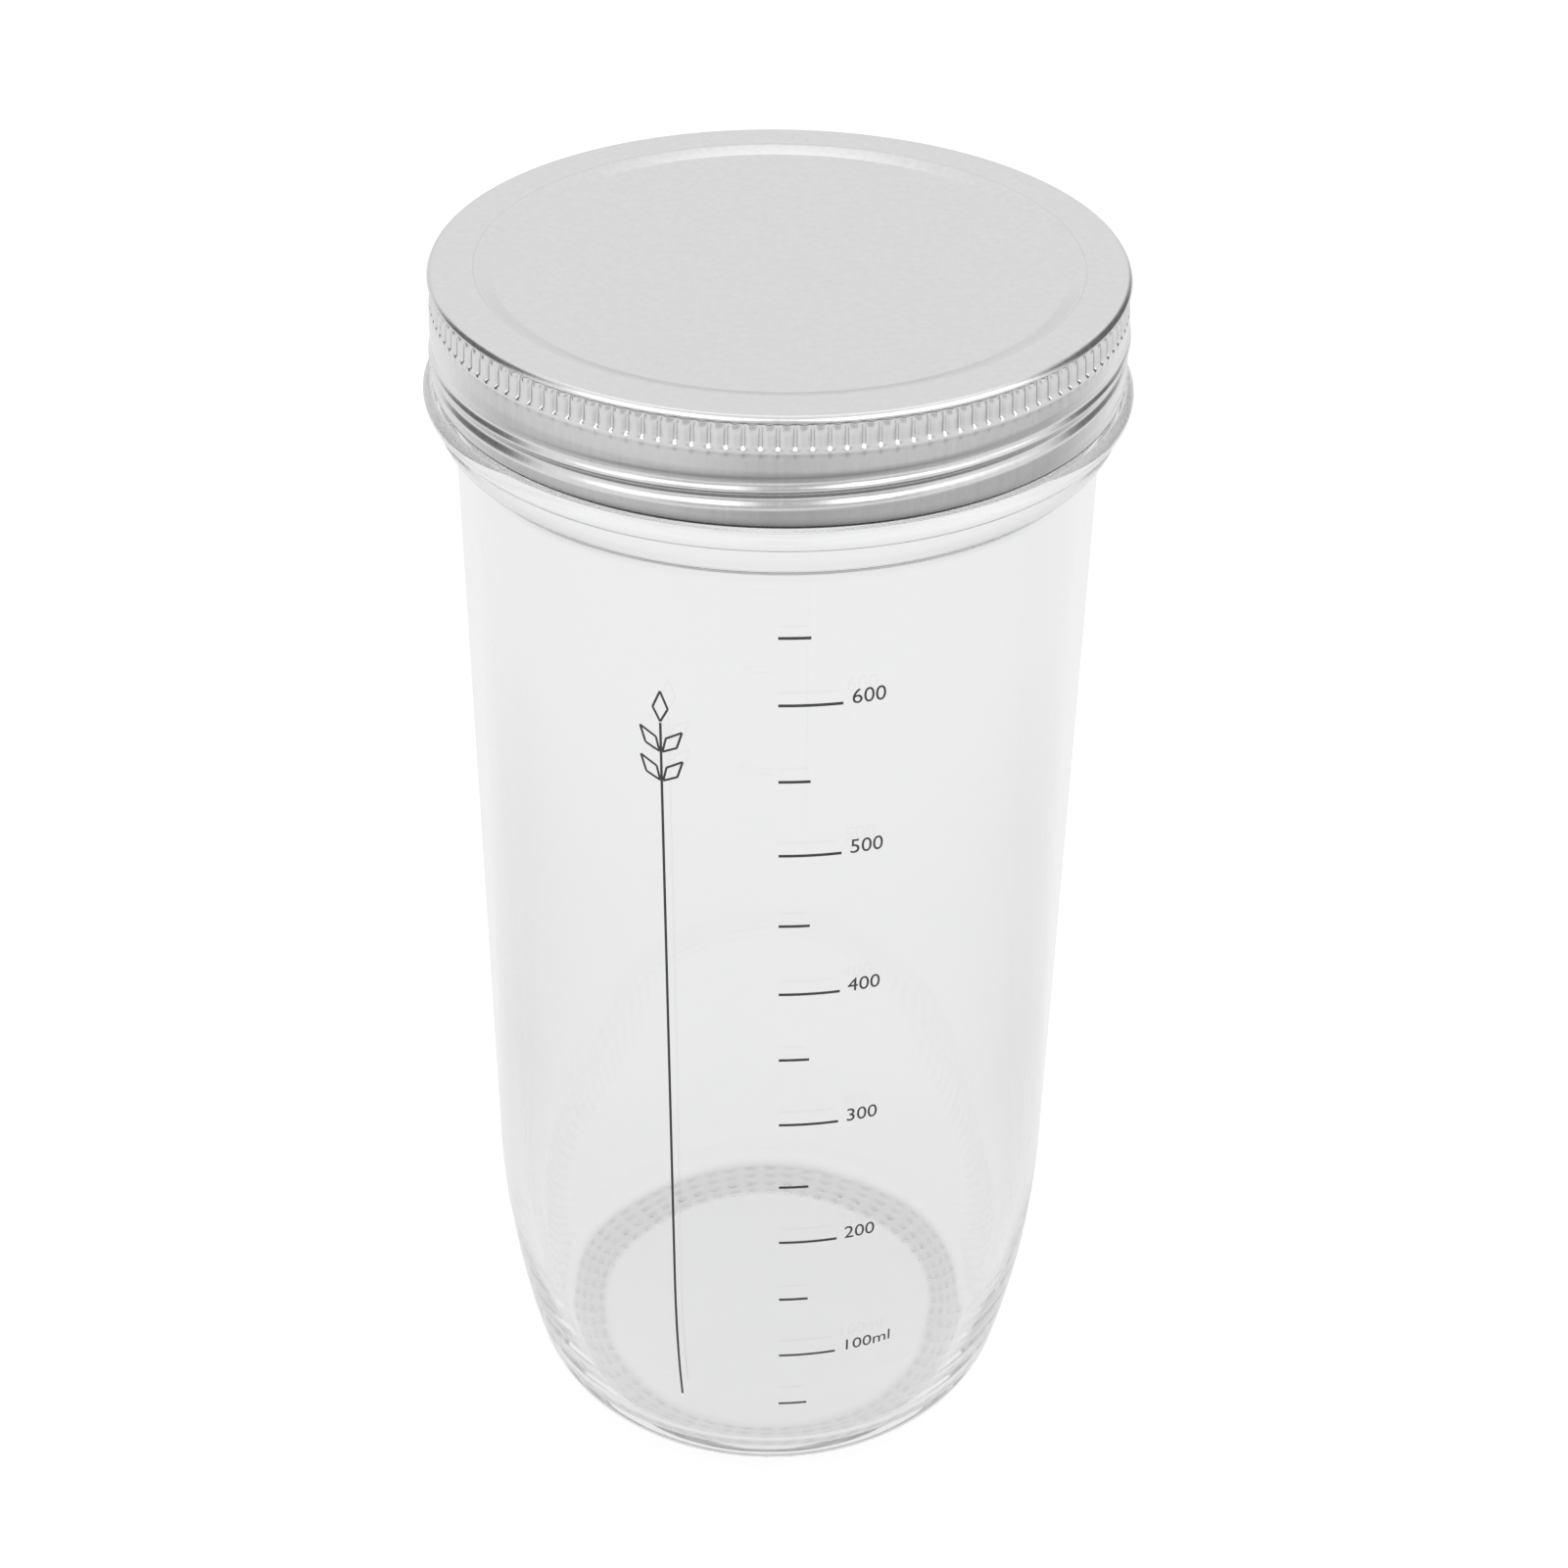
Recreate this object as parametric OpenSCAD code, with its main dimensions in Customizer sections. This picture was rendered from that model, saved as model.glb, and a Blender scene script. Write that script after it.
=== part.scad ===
// Glass storage jar with a one-piece metal screw lid.
// Millimetres, +Z up. The origin is the centre of the base, on the surface that the jar stands on.

/* [Glass body] */
// Outside diameter of the straight body, where it meets the shoulder
body_d = 83.2; // [74:0.1:94]
// How much the body's radius shrinks from the shoulder down to the start of the heel
body_taper = 1.4; // [0.2:0.1:3]
// Glass thickness of the side wall
wall_t = 2.4; // [1.6:0.1:3.2]
// Height at which the body meets the shoulder
shoulder_z = 154.2; // [107:0.2:237]
// Height at which the wall starts to curve in towards the base
heel_z = 41; // [31:0.5:57]
// Radius of the long curve from the wall down to the heel
lower_wall_r = 152; // [120:1:300]

/* [Glass base] */
// Radius of the rounded heel
heel_r = 7.2; // [4:0.1:14]
// Width of the flat ring that the jar rests on
resting_ring_w = 4.2; // [1:0.1:8]
// Height of the dome under the base
punt_h = 1.2; // [0.5:0.1:3]
// Height of the inside floor at the foot of its rounded corner
floor_z = 4; // [3.2:0.1:10]
// How much the inside floor rises towards its middle
floor_crown = 0.6; // [0.2:0.1:2]
// Radius of the rounded corner between floor and wall
floor_corner_r = 5; // [3:0.5:14]
// Radius of the long inside curve above that corner
inner_wall_r = 130; // [100:1:300]

/* [Shoulder and bead] */
// How far the shoulder ring stands out beyond the neck
shoulder_out = 2.3; // [1.9:0.1:4]
// Radius where the body turns into the shoulder
shoulder_foot_r = 2.6; // [2.4:0.1:5]
// Radius where the shoulder turns up into its ring
shoulder_round_r = 3.5; // [2.4:0.1:6]
// Height of the shoulder ring's upright face
shoulder_face = 1.05; // [0.3:0.05:6]
// Section radius of the half-round bead above the shoulder
bead_r = 1.25; // [0.8:0.05:2.4]

/* [Neck] */
// Outside diameter of the neck, at the root of its thread
neck_d = 83.8; // [74:0.1:94]
// Glass thickness of the neck
neck_wall = 3; // [2.4:0.1:4]
// Height of the neck from the top of the bead to the rim
neck_h = 13.25; // [12:0.05:24]
// Radius of the corner between bead and neck
neck_root_r = 0.7; // [0.3:0.1:1.2]
// Radius of the rim's rounded edges
rim_round_r = 1.1; // [0.4:0.1:1.15]

/* [Sealing ring] */
// Thickness of the ring between the rim and the lid
seal_t = 1.05; // [0.6:0.05:2]
// How far the ring's inner edge reaches past the rim, over the mouth
seal_overlap = 0.1; // [0:0.05:0.25]
// Gap between the ring's outer edge and the lid
seal_gap = 0.15; // [0.1:0.05:0.3]

/* [Lid] */
// Gap between the neck and the inside of the grip band, which holds the thread
thread_gap = 1.58; // [1.4:0.02:3]
// Thickness of the lid's sheet metal
sheet_t = 0.45; // [0.3:0.05:0.6]
// Radius of the lid's rounded top edge
lid_edge_r = 0.8; // [0.6:0.05:0.85]
// Gap between the mouth and the stamped step of the lid
step_gap = 0.45; // [0.3:0.05:4]
// Width of the sloping stamped step
step_w = 2.15; // [1:0.05:4]
// Depth of the recessed panel below the flat rim
panel_depth = 0.75; // [0.3:0.05:1.4]
// Gap between the lid's lower edge and the glass bead
skirt_gap = 0.3; // [0.2:0.05:1]
// Radius of the rolled hem at the lid's lower edge
hem_r = 0.4; // [0.35:0.05:0.5]

/* [Grip band and thread bead] */
// Number of flutes pressed into the grip band
flute_count = 138; // [40:1:150]
// Height of a flute, end to end
flute_h = 3.7; // [2.5:0.1:4.5]
// Width of a flute on the band's surface
flute_w = 1.3; // [0.8:0.05:1.5]
// Depth of a flute
flute_depth = 0.32; // [0.15:0.01:0.4]
// Distance from the lid's top to the top of the flutes
flute_top = 0.9; // [0.9:0.05:1.5]
// Height below the flutes over which the thicker band thins to one sheet
band_blend = 0.6; // [0.4:0.05:1]
// Height of the plain band between the flutes and the groove
plain_h = 2.3; // [1.2:0.1:3]
// Height of the rolled groove above the bead
groove_h = 1.2; // [0.8:0.1:2]
// Depth of the rolled groove
groove_depth = 0.26; // [0.1:0.02:0.4]
// Height of the rolled bead
thread_bead_h = 1.8; // [1.2:0.1:2.2]
// How far the rolled bead stands out of the lower skirt
thread_bead_out = 0.36; // [0.1:0.02:0.6]
// Height of the narrow valley under the bead
valley_h = 1; // [0.6:0.1:1.4]
// Depth of the narrow valley
valley_depth = 0.2; // [0.06:0.02:0.3]
// How much smaller the lower skirt's radius is than the grip band's
skirt_in = 0.12; // [0:0.02:0.3]

/* [Hidden] */
$fn = 96;
arc_step = 9; // most degrees that one chord of a profile's arc turns
body_r = body_d / 2;
heel_top_r = body_r - body_taper;
taper_a = atan(body_taper / (shoulder_z - heel_z));
neck_r = neck_d / 2;
mouth_r = neck_r - neck_wall;
shoulder_r = neck_r + shoulder_out;

// Points of an arc around [cx, cz], from angle a0 to a1, in steps of about arc_step or less
function arc(cx, cz, r, a0, a1, step = arc_step) =
    let (n = max(2, ceil(abs(a1 - a0) / step)))
    [for (i = [0 : n]) let (a = a0 + (a1 - a0) * i / n) [cx + r * cos(a), cz + r * sin(a)]];

// Outside of the lower jar. A long curve leaves the wall at heel_z and hands over to the heel, which
// must end level on the floor at 0, and that settles the angle of the handover.
lower_cx = heel_top_r - lower_wall_r * cos(taper_a);
lower_cz = heel_z + lower_wall_r * sin(taper_a);
heel_turn = asin((lower_cz - heel_r) / (lower_wall_r - heel_r));
heel_cx = lower_cx + (lower_wall_r - heel_r) * cos(heel_turn);
resting_in_r = heel_cx - resting_ring_w;
punt_r = (resting_in_r * resting_in_r + punt_h * punt_h) / (2 * punt_h);
punt_a = asin(resting_in_r / punt_r);

// Inside of the lower jar, worked out in the same way down to the floor's corner
inner_top_r = heel_top_r - wall_t;
inner_cx = inner_top_r - inner_wall_r * cos(taper_a);
inner_cz = heel_z + inner_wall_r * sin(taper_a);
corner_cz = floor_z + floor_corner_r;
inner_turn = asin((inner_cz - corner_cz) / (inner_wall_r - floor_corner_r));
corner_cx = inner_cx + (inner_wall_r - floor_corner_r) * cos(inner_turn);
crown_r = (corner_cx * corner_cx + floor_crown * floor_crown) / (2 * floor_crown);
crown_a = asin(corner_cx / crown_r);

// Shoulder: two arcs that turn by the same angle, outward to a wider ring or inward to a narrower one
shoulder_way = shoulder_r >= body_r ? 1 : -1;
shoulder_turn = acos(1 - abs(shoulder_r - body_r) / (shoulder_foot_r + shoulder_round_r));
shoulder_rise = (shoulder_foot_r + shoulder_round_r) * sin(shoulder_turn);
bead_low_z = shoulder_z + shoulder_rise + shoulder_face;
bead_cz = bead_low_z + bead_r;
bead_top_z = bead_cz + bead_r;
rim_z = bead_top_z + neck_h;
inner_shoulder_r = body_r - wall_t;

// Lid: its size comes from the neck that it screws on
band_in_r = neck_r + thread_gap;
lid_r = band_in_r + sheet_t + flute_depth;
lid_top_z = rim_z + seal_t + sheet_t;
lid_low_z = bead_top_z + skirt_gap;
skirt_r = lid_r - skirt_in;
step_out_r = mouth_r - step_gap;
step_in_r = step_out_r - step_w;
panel_z = lid_top_z - panel_depth;
flute_top_z = lid_top_z - flute_top;
flute_low_z = flute_top_z - flute_h;
groove_top_z = flute_low_z - plain_h;
groove_low_z = groove_top_z - groove_h;
thread_bead_low_z = groove_low_z - thread_bead_h;
valley_low_z = thread_bead_low_z - valley_h;
// A flute is a capsule that dips flute_depth into the band and is flute_w wide on its surface
flute_r = (flute_w * flute_w / 4 + flute_depth * flute_depth) / (2 * flute_depth);
flute_cx = lid_r + flute_r - flute_depth;
// The band is thicker by a flute's depth, down to a little below the flutes
band_low_z = flute_low_z - band_blend / 2;

// A smooth swell from one height to another: outward where rise is above 0, inward where below
function swell(r, z1, z0, rise, n = 8) =
    [for (i = [1 : n - 1]) [r + rise * (1 - cos(360 * i / n)) / 2, z1 + (z0 - z1) * i / n]];

function shoulder_arcs() =
    let (foot_a = 90 + 90 * shoulder_way, round_a = 90 - 90 * shoulder_way)
    concat(
        arc(body_r + shoulder_way * shoulder_foot_r, shoulder_z, shoulder_foot_r,
            foot_a, foot_a - shoulder_way * shoulder_turn),
        arc(shoulder_r - shoulder_way * shoulder_round_r, shoulder_z + shoulder_rise, shoulder_round_r,
            round_a - shoulder_way * shoulder_turn, round_a)
    );

function jar_outside() = concat(
    arc(0, punt_h - punt_r, punt_r, 90, 90 - punt_a, 6),
    arc(heel_cx, heel_r, heel_r, -90, -heel_turn),
    arc(lower_cx, lower_cz, lower_wall_r, -heel_turn, -taper_a, 1.5),
    shoulder_arcs(),
    arc(shoulder_r, bead_cz, bead_r, -90, 90),
    arc(neck_r + neck_root_r, bead_top_z + neck_root_r, neck_root_r, 270, 180),
    arc(neck_r - rim_round_r, rim_z - rim_round_r, rim_round_r, 0, 90)
);

function jar_inside() = concat(
    arc(mouth_r + rim_round_r, rim_z - rim_round_r, rim_round_r, 90, 180),
    [[mouth_r, bead_top_z], [inner_shoulder_r, shoulder_z]],
    arc(inner_cx, inner_cz, inner_wall_r, -taper_a, -inner_turn, 1.5),
    arc(corner_cx, corner_cz, floor_corner_r, -inner_turn, -90),
    arc(0, floor_z + floor_crown - crown_r, crown_r, 90 - crown_a, 90, 3)
);

module glass_jar() {
    color([0.90, 0.92, 0.92, 0.45])
    rotate_extrude()
    polygon(concat(jar_outside(), jar_inside()));
}

// The rolled hem turns round until it meets the skirt's inner face again
hem_end_a = acos((hem_r - sheet_t) / hem_r);

// Outer face of the lid's skirt, from the rounded top edge down and round the hem
function skirt_outside() = concat(
    arc(lid_r - lid_edge_r, lid_top_z - lid_edge_r, lid_edge_r, 90, 0, 15),
    [[lid_r, groove_top_z]],
    swell(lid_r, groove_top_z, groove_low_z, -groove_depth),
    [[skirt_r, groove_low_z]],
    swell(skirt_r, groove_low_z, thread_bead_low_z, thread_bead_out, 10),
    [[skirt_r, thread_bead_low_z]],
    swell(skirt_r, thread_bead_low_z, valley_low_z, -valley_depth),
    [[skirt_r, valley_low_z]],
    arc(skirt_r - hem_r, lid_low_z + hem_r, hem_r, 0, hem_end_a - 360, 15)
);

// Inner face of the skirt, from the hem up to the underside of the flat rim
function skirt_inside() = concat(
    [[skirt_r - sheet_t, valley_low_z]],
    swell(skirt_r - sheet_t, valley_low_z, thread_bead_low_z, -valley_depth),
    [[skirt_r - sheet_t, thread_bead_low_z]],
    swell(skirt_r - sheet_t, thread_bead_low_z, groove_low_z, thread_bead_out, 10),
    [[skirt_r - sheet_t, groove_low_z]],
    swell(lid_r - sheet_t, groove_low_z, groove_top_z, -groove_depth),
    [[lid_r - sheet_t, groove_top_z], [lid_r - sheet_t, flute_low_z - band_blend],
     [band_in_r, band_low_z], [band_in_r, lid_top_z - sheet_t]]
);

module lid_sheet() {
    rotate_extrude()
    polygon(concat(
        [[0, panel_z], [step_in_r, panel_z], [step_out_r, lid_top_z]],
        skirt_outside(),
        skirt_inside(),
        [[step_out_r, lid_top_z - sheet_t], [step_in_r, panel_z - sheet_t], [0, panel_z - sheet_t]]
    ));
}

// One flute's capsule, around its own upright axis
module flute_cutter() {
    straight = flute_h - flute_w;
    cylinder(r = flute_r, h = straight, center = true, $fn = 24);
    for (s = [-1, 1]) translate([0, 0, s * straight / 2]) sphere(r = flute_r, $fn = 24);
}

module screw_lid() {
    color([0.78, 0.78, 0.78])
    difference() {
        lid_sheet();
        for (i = [0 : flute_count - 1])
            rotate([0, 0, 360 * (i + 0.5) / flute_count])
            translate([flute_cx, 0, (flute_top_z + flute_low_z) / 2])
            flute_cutter();
    }
}

module sealing_ring() {
    ring_in_r = mouth_r - seal_overlap;
    ring_out_r = band_in_r - seal_gap;
    color([0.88, 0.87, 0.84])
    translate([0, 0, rim_z])
    difference() {
        cylinder(r = ring_out_r, h = seal_t);
        translate([0, 0, -seal_t]) cylinder(r = ring_in_r, h = 3 * seal_t);
    }
}

glass_jar();
screw_lid();
sealing_ring();
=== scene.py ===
# %% [markdown]
# # A glass storage jar with a screw lid
# The jar is moulded glass, the lid is one piece of stamped steel sheet, and a soft ring seals the two.
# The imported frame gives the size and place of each. All lengths below are in millimetres until a point
# is placed, because jar drawings are in millimetres, and Blender works in metres.

# %% Load the frame
import bpy
import math
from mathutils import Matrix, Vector, noise


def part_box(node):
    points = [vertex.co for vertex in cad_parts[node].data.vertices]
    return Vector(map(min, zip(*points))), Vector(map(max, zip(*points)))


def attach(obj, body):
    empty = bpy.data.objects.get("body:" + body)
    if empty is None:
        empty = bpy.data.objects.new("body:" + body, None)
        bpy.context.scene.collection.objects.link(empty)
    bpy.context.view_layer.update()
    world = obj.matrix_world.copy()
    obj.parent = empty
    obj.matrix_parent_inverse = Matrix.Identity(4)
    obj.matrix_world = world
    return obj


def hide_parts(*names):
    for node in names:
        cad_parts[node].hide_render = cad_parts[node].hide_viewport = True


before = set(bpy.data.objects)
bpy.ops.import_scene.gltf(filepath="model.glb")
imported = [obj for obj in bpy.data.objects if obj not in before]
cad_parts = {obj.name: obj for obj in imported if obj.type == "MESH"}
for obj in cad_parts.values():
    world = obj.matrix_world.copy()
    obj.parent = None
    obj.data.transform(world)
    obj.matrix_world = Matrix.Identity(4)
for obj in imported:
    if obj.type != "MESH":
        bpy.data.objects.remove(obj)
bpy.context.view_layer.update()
MM = 0.001

# %% Heights and radii that the frame gives
RIM = round(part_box("glass_jar")[1][2] / MM, 2)
RING_TOP = round(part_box("sealing_ring")[1][2] / MM, 2)
LID_LOW = round(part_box("screw_lid")[0][2] / MM, 2)
LID_TOP = round(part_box("screw_lid")[1][2] / MM, 2)
LID_R = 44.25
print("rim", RIM, "ring", RING_TOP, "lid", LID_LOW, "to", LID_TOP)

# %% [markdown]
# ## Small helpers for modelling by hand
# Each piece is started from a primitive, so first nothing may be selected. A finished piece keeps its
# object at the origin, and its place is in its mesh.

# %% Helpers for objects
def clear_selection():
    """Nothing is selected and nothing is in edit mode."""
    if bpy.context.object and bpy.context.object.mode != "OBJECT":
        bpy.ops.object.mode_set(mode="OBJECT")
    bpy.ops.object.select_all(action="DESELECT")


def pick(piece):
    """Makes one piece the only selected and active one."""
    clear_selection()
    piece.select_set(True)
    bpy.context.view_layer.objects.active = piece


def settle(piece):
    """Puts the object's place, turn and scale into its mesh."""
    pick(piece)
    bpy.ops.object.transform_apply(location=True, rotation=True, scale=True)


# %% [markdown]
# ## Outlines made of arcs
# Jar, lid and seal are turned shapes: each is half of its cross-section, spun once round the axis.
# A mould maker draws such a section as lines and tangent arcs, so the helper returns an arc's points
# from its centre, radius and two angles. What repeats round the axis, such as a flute, is one sector:
# the outline is spun through that sector only, and an array turned about the axis makes the rest.

# %% Arcs
def arc(cx, cz, r, a0, a1, step=7.0):
    """Points of an arc in the section plane, from angle a0 to a1 in degrees."""
    count = max(2, math.ceil(abs(a1 - a0) / step))
    angles = [math.radians(a0 + (a1 - a0) * i / count) for i in range(count + 1)]
    return [(cx + r * math.cos(a), cz + r * math.sin(a)) for a in angles]


def straight(r0, z0, r1, z1, count):
    """Points along a line of the section, without its two ends."""
    return [(r0 + (r1 - r0) * i / count, z0 + (z1 - z0) * i / count) for i in range(1, count)]


def dome(edge_r, low_z, rise, step=2.0):
    """A shallow dome of the section, from its top on the axis down to its edge."""
    r = (edge_r * edge_r + rise * rise) / (2 * rise)
    return arc(0, low_z + rise - r, r, 90, 90 - math.degrees(math.asin(edge_r / r)), step)


def turned(name, outline, columns, sectors):
    """Draws an outline by extruding one vertex along it, spins it through one sector, and arrays that.

    columns gives the widths of the sector's columns as shares of the sector."""
    clear_selection()
    bpy.ops.mesh.primitive_plane_add(size=1 * MM, location=(0, 0, 0))
    piece = bpy.context.object
    piece.name = piece.data.name = name
    bpy.ops.object.mode_set(mode="EDIT")
    bpy.ops.mesh.select_all(action="SELECT")
    bpy.ops.mesh.merge(type="CENTER")
    r0, z0 = outline[0]
    bpy.ops.transform.translate(value=(r0 * MM, 0, z0 * MM))
    for r1, z1 in outline[1:]:
        move = ((r1 - r0) * MM, 0, (z1 - z0) * MM)
        bpy.ops.mesh.extrude_region_move(TRANSFORM_OT_translate={"value": move})
        r0, z0 = r1, z1
    bpy.ops.mesh.select_all(action="SELECT")
    sector = 2 * math.pi / sectors
    for share in columns:
        bpy.ops.mesh.spin(steps=1, angle=sector * share, center=(0, 0, 0), axis=(0, 0, 1))
    bpy.ops.object.mode_set(mode="OBJECT")
    settle(piece)
    bpy.ops.object.empty_add(location=(0, 0, 0), rotation=(0, 0, sector))
    hand = bpy.context.object
    pick(piece)
    ring = piece.modifiers.new("ring", "ARRAY")
    ring.count = sectors
    ring.use_relative_offset = False
    ring.use_object_offset = True
    ring.offset_object = hand
    bpy.ops.object.modifier_apply(modifier="ring")
    bpy.data.objects.remove(hand)
    pick(piece)
    bpy.ops.object.mode_set(mode="EDIT")
    bpy.ops.mesh.select_all(action="SELECT")
    bpy.ops.mesh.remove_doubles(threshold=0.004 * MM)
    bpy.ops.mesh.normals_make_consistent(inside=False)
    bpy.ops.object.mode_set(mode="OBJECT")
    triangles = sum(len(face.vertices) - 2 for face in piece.data.polygons)
    print(name, len(outline), "outline points,", triangles, "triangles")
    return piece


def smooth(piece, degrees=40):
    pick(piece)
    bpy.ops.object.shade_smooth_by_angle(angle=math.radians(degrees))


# %% [markdown]
# ## The glass
# The jar is blown into a mould, so its outside is exact and its inside is softer. The wall is about
# 2.4 mm and the base 4 mm. The section below runs from the dome under the base, out over the ring that
# the jar stands on, round the heel, up the long wall, round the shoulder and the bead, up the neck, over
# the rim and down the inside. Spinning it gives one closed skin with glass between its two sides, and
# that is what bends light like the real jar.

# %% Section of the jar, outside
BODY_R, TAPER = 41.6, 1.4
SHOULDER_Z, HEEL_Z = RIM - 21.8, 41.0
SLOPE = math.degrees(math.atan(TAPER / (SHOULDER_Z - HEEL_Z)))


def lower_curve(top_r, low_z, long_r, foot_r):
    """A long arc from the tapered wall at HEEL_Z, and the arc that ends it level at low_z."""
    cx = top_r - long_r * math.cos(math.radians(SLOPE))
    cz = HEEL_Z + long_r * math.sin(math.radians(SLOPE))
    turn = math.asin((cz - low_z - foot_r) / (long_r - foot_r))
    foot_cx = cx + (long_r - foot_r) * math.cos(turn)
    return (cx, cz), math.degrees(turn), foot_cx


def underside(edge_r, rise, count=16):
    """A shallow hollow under the base that runs out softly into the flat ring at edge_r."""
    radii = [edge_r * i / count for i in range(count + 1)]
    return [(r, rise * (1 - (r / edge_r) ** 2) ** 2) for r in radii]


WALL, FLOOR, CROWN = 2.4, 4.0, 0.6
RING_WIDTH, PUNT = 4.2, 1.2
HEEL_R, LONG_R = 7.2, 152.0
CORNER_R, INNER_LONG_R = 5.0, 130.0
BEAD_R, BEAD_Z = 1.25, RIM - 14.5
BEAD_TOP = BEAD_Z + BEAD_R
NECK_R, MOUTH_R, SHOULDER_R = 41.9, 38.9, 44.2
BEAD_EDGE_R, CROWN_R, CROWN_START, CROWN_END = 0.5, 2.8, 28, 56
bead_edge_cx = SHOULDER_R + BEAD_R - BEAD_EDGE_R
crown_way = math.radians(CROWN_START)
crown_cx = bead_edge_cx - (CROWN_R - BEAD_EDGE_R) * math.cos(crown_way)
crown_cz = BEAD_Z - (CROWN_R - BEAD_EDGE_R) * math.sin(crown_way)
(long_cx, long_cz), heel_turn, heel_cx = lower_curve(BODY_R - TAPER, 0.0, LONG_R, HEEL_R)
DOTS_OUT = 33.6
BAND_END = math.degrees(math.acos((DOTS_OUT + 0.3 - heel_cx) / HEEL_R))
outside = (
    underside(heel_cx - RING_WIDTH, PUNT)
    + straight(heel_cx - RING_WIDTH, 0, heel_cx, 0, 12)
    + arc(heel_cx, HEEL_R, HEEL_R, -90, -BAND_END, 2.4)
    + arc(heel_cx, HEEL_R, HEEL_R, -BAND_END, -heel_turn, 6)[1:]
    + arc(long_cx, long_cz, LONG_R, -heel_turn, -SLOPE, 1.2)
    + straight(BODY_R - TAPER, HEEL_Z, BODY_R, SHOULDER_Z, 8)
    + arc(BODY_R + 2.6, SHOULDER_Z, 2.6, 180, 125.0)
    + arc(SHOULDER_R - 3.5, BEAD_Z - 2.3, 3.5, -55.0, 0)
    + arc(SHOULDER_R, BEAD_Z, BEAD_R, -90, 0, 11)
    + arc(bead_edge_cx, BEAD_Z, BEAD_EDGE_R, 0, CROWN_START, 10)[1:]
    + arc(crown_cx, crown_cz, CROWN_R, CROWN_START, CROWN_END, 4)[1:]
    + [(SHOULDER_R + 0.1, BEAD_TOP)]
    + arc(NECK_R + 0.7, BEAD_TOP + 0.7, 0.7, 270, 180, 18)
    + straight(NECK_R, BEAD_TOP + 0.7, NECK_R, RIM - 1.1, 32)
    + arc(NECK_R - 1.1, RIM - 1.1, 1.1, 0, 90, 15)
)

# %% Section of the jar, inside
(in_cx, in_cz), corner_turn, corner_cx = lower_curve(BODY_R - TAPER - WALL, FLOOR, INNER_LONG_R, CORNER_R)
inside = (
    arc(MOUTH_R + 1.1, RIM - 1.1, 1.1, 90, 180, 15)
    + straight(MOUTH_R, RIM - 1.1, MOUTH_R, BEAD_TOP, 3)
    + [(MOUTH_R, BEAD_TOP), (MOUTH_R + 0.08, BEAD_TOP - 3.7), (MOUTH_R + 0.25, SHOULDER_Z + 1.4)]
    + straight(BODY_R - WALL, SHOULDER_Z, BODY_R - TAPER - WALL, HEEL_Z, 16)
    + arc(in_cx, in_cz, INNER_LONG_R, -SLOPE, -corner_turn, 1.3)
    + arc(corner_cx, FLOOR + CORNER_R, CORNER_R, -corner_turn, -90, 9)
    + dome(corner_cx, FLOOR, CROWN)[::-1][1:]
)
DOTS_AROUND = 60
EVEN_COLUMNS = [1 / 8] * 8
jar_glass = turned("jar_glass", outside + inside, EVEN_COLUMNS, DOTS_AROUND)

# %% [markdown]
# The neck carries a right-handed thread of one start: a rounded ridge that climbs 6 mm a turn. It is
# raised from the spun neck by moving its vertices outward where the ridge runs, because a swept tube
# would leave a seam between ridge and neck. Both ends fade into the neck, as they do in a mould.

# %% Thread on the neck
PITCH = 6.0
CREST_Z = LID_LOW + 4.95


def hump(distance, half_width):
    """1 in the middle of a rounded ridge, 0 at half_width and beyond."""
    x = min(1.0, abs(distance) / half_width)
    return (1 - x * x) ** 2


def ease(x, start, end):
    """0 at start and 1 at end, with a smooth curve between."""
    t = max(0.0, min(1.0, (x - start) / (end - start)))
    return t * t * (3 - 2 * t)


def fade(x, low, high, ramp):
    """1 between low and high, and smoothly down to 0 over ramp on both sides."""
    return ease(x, low - ramp, low) * ease(x, high + ramp, high)


def azimuth(x, y):
    """Degrees from the front, -Y, and rising to the right as the thread does."""
    return math.degrees(math.atan2(x, -y))


def turns(az):
    """The same direction on the helix's lower and upper turn."""
    return (az - 360, az)


def push_out(vertex, az, rise):
    """Moves a vertex away from the axis."""
    vertex.co.x += math.sin(math.radians(az)) * rise * MM
    vertex.co.y -= math.cos(math.radians(az)) * rise * MM


ridge_points = 0
for vertex in jar_glass.data.vertices:
    x, y, z = (c / MM for c in vertex.co)
    if math.hypot(x, y) < NECK_R - 0.1 or not BEAD_TOP + 0.75 < z < RIM - 1.2:
        continue
    az = azimuth(x, y)
    rise = 0.0
    for turn in (az, az + 360):
        ridge_z = CREST_Z + PITCH * turn / 360
        rise = max(rise, 1.4 * hump(z - ridge_z, 1.4) * fade(turn, -110, 330, 25))
    if rise > 0:
        push_out(vertex, az, rise)
        ridge_points += 1
print("thread vertices moved", ridge_points)

# %% [markdown]
# Blown glass never has quite the same wall all over: the inside wanders by a tenth of a millimetre or
# so, and that makes the soft lines that one sees in a jar. The inner skin is moved by a slow noise.

# %% Uneven inner wall
UNEVEN = 0.16
for vertex in jar_glass.data.vertices:
    x, y, z = (c / MM for c in vertex.co)
    r = math.hypot(x, y)
    if r > MOUTH_R + 0.4 or not FLOOR + 1 < z < SHOULDER_Z or r < 20:
        continue
    wave = noise.noise(Vector((x / 17, y / 17, z / 60)))
    push_out(vertex, azimuth(x, y), UNEVEN * wave * fade(z, 20, SHOULDER_Z - 14, 12))

# %% [markdown]
# The jar stands on four rings of small raised dots, so that the hot glass touched the belt only at
# points. The base inside DOTS_OUT is set in by the dots' height, and each dot is a few vertices pushed
# outward along their normals, one behind the other from ring to ring.

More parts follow.
